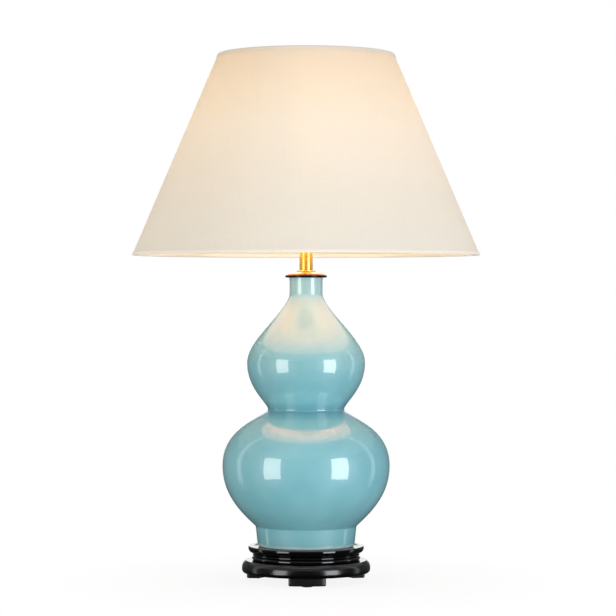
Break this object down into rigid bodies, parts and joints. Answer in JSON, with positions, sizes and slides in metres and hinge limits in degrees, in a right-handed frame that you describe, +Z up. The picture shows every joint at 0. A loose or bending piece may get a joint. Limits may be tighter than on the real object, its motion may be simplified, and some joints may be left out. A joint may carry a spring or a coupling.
{
  "type": "double gourd table lamp",
  "caption": "Table lamp with a glazed double gourd vase on a black turned stand, a brass stem and a tapered cloth shade on a harp.",
  "frame": {"origin": "on the floor, on the lamp's vertical axis", "axes": "+Z up along the lamp's axis, front towards -Y, the cord inlet at the back, +Y"},
  "size_m": [0.4569, 0.457, 0.6906],
  "materials": {
    "lacquered_wood": "black gloss lacquer over turned wood",
    "felt": "black felt",
    "steel": "bright zinc plate",
    "rubber": "matt black",
    "glaze": "clear gloss glaze over pale teal blue",
    "brass": "polished and lacquered brass",
    "fibre": "pressed fibre",
    "black_plastic": "moulded black phenolic",
    "frosted_glass": "inside-frosted",
    "clear_glass": "clear",
    "nickel": "satin",
    "vitrite": "black fired insulator",
    "solder": "dull solder",
    "tungsten": "drawn wire",
    "shade_cloth": "off-white plain weave",
    "shade_lining": "translucent white sheet",
    "white_steel": "white coated wire"
  },
  "bodies": {
    "lamp_body": {"stand_apron": "lacquered_wood", "stand_collar": "lacquered_wood", "stand_foot_front": "lacquered_wood", "stand_foot_left": "lacquered_wood", "stand_foot_right": "lacquered_wood", "foot_screws": "steel", "foot_pads": "felt", "cord_grommet": "rubber", "vase_seat_pad": "felt", "vase": "glaze", "threaded_rod": "steel", "base_washer": "steel", "base_lock_washer": "steel", "base_nut": "steel", "neck_plug": "rubber", "neck_cap": "brass", "stem_collar": "brass", "stem_tube": "brass", "harp_saddle": "brass", "socket_cap": "brass", "socket_set_screw": "steel", "socket_shell": "brass", "socket_liner": "fibre", "socket_insulator": "black_plastic", "screw_shell": "brass", "centre_contact": "brass", "terminal_screws": "brass"},
    "switch_knob": {"switch_knob": "black_plastic", "switch_spindle": "brass"},
    "bulb": {"bulb_glass": "frosted_glass", "bulb_cap": "nickel", "bulb_insulator": "vitrite", "bulb_contact": "solder", "bulb_stem": "clear_glass", "bulb_filament": "tungsten"},
    "harp": {"harp": "brass"},
    "harp_sleeve_front": {"harp_sleeve_front": "brass"},
    "harp_sleeve_rear": {"harp_sleeve_rear": "brass"},
    "harp_stud": {"harp_stud": "brass"},
    "shade": {"shade_fabric": "shade_cloth", "shade_liner": "shade_lining", "shade_top_ring": "white_steel", "shade_bottom_ring": "white_steel", "shade_top_binding": "shade_cloth", "shade_bottom_binding": "shade_cloth", "shade_spider": "brass"},
    "finial": {"finial": "brass"}
  },
  "joints": [
    {"name": "bulb_unscrew", "type": "slide", "parent": "lamp_body", "child": "bulb", "axis": [0, 0, 1], "range_m": [0, 0.034]},
    {"name": "harp_lift", "type": "slide", "parent": "lamp_body", "child": "harp", "axis": [0, 0, 1], "range_m": [0, 0.14]},
    {"name": "sleeve_front_slide", "type": "slide", "parent": "harp", "child": "harp_sleeve_front", "axis": [0, 0, 1], "range_m": [0, 0.01]},
    {"name": "sleeve_rear_slide", "type": "slide", "parent": "harp", "child": "harp_sleeve_rear", "axis": [0, 0, 1], "range_m": [0, 0.01]},
    {"name": "shade_swivel", "type": "hinge", "parent": "harp", "child": "harp_stud", "pos_m": [0, 0, 0.6662], "axis": [0, 0, 1], "continuous": true},
    {"name": "shade_lift", "type": "slide", "parent": "harp_stud", "child": "shade", "axis": [0, 0, 1], "range_m": [0, 0.26]},
    {"name": "finial_unscrew", "type": "slide", "parent": "shade", "child": "finial", "axis": [0, 0, 1], "range_m": [0, 0.03]},
    {"name": "switch_turn", "type": "hinge", "parent": "lamp_body", "child": "switch_knob", "pos_m": [0, 0, 0.5002], "axis": [0.9397, -0.342, 0], "continuous": true}
  ]
}
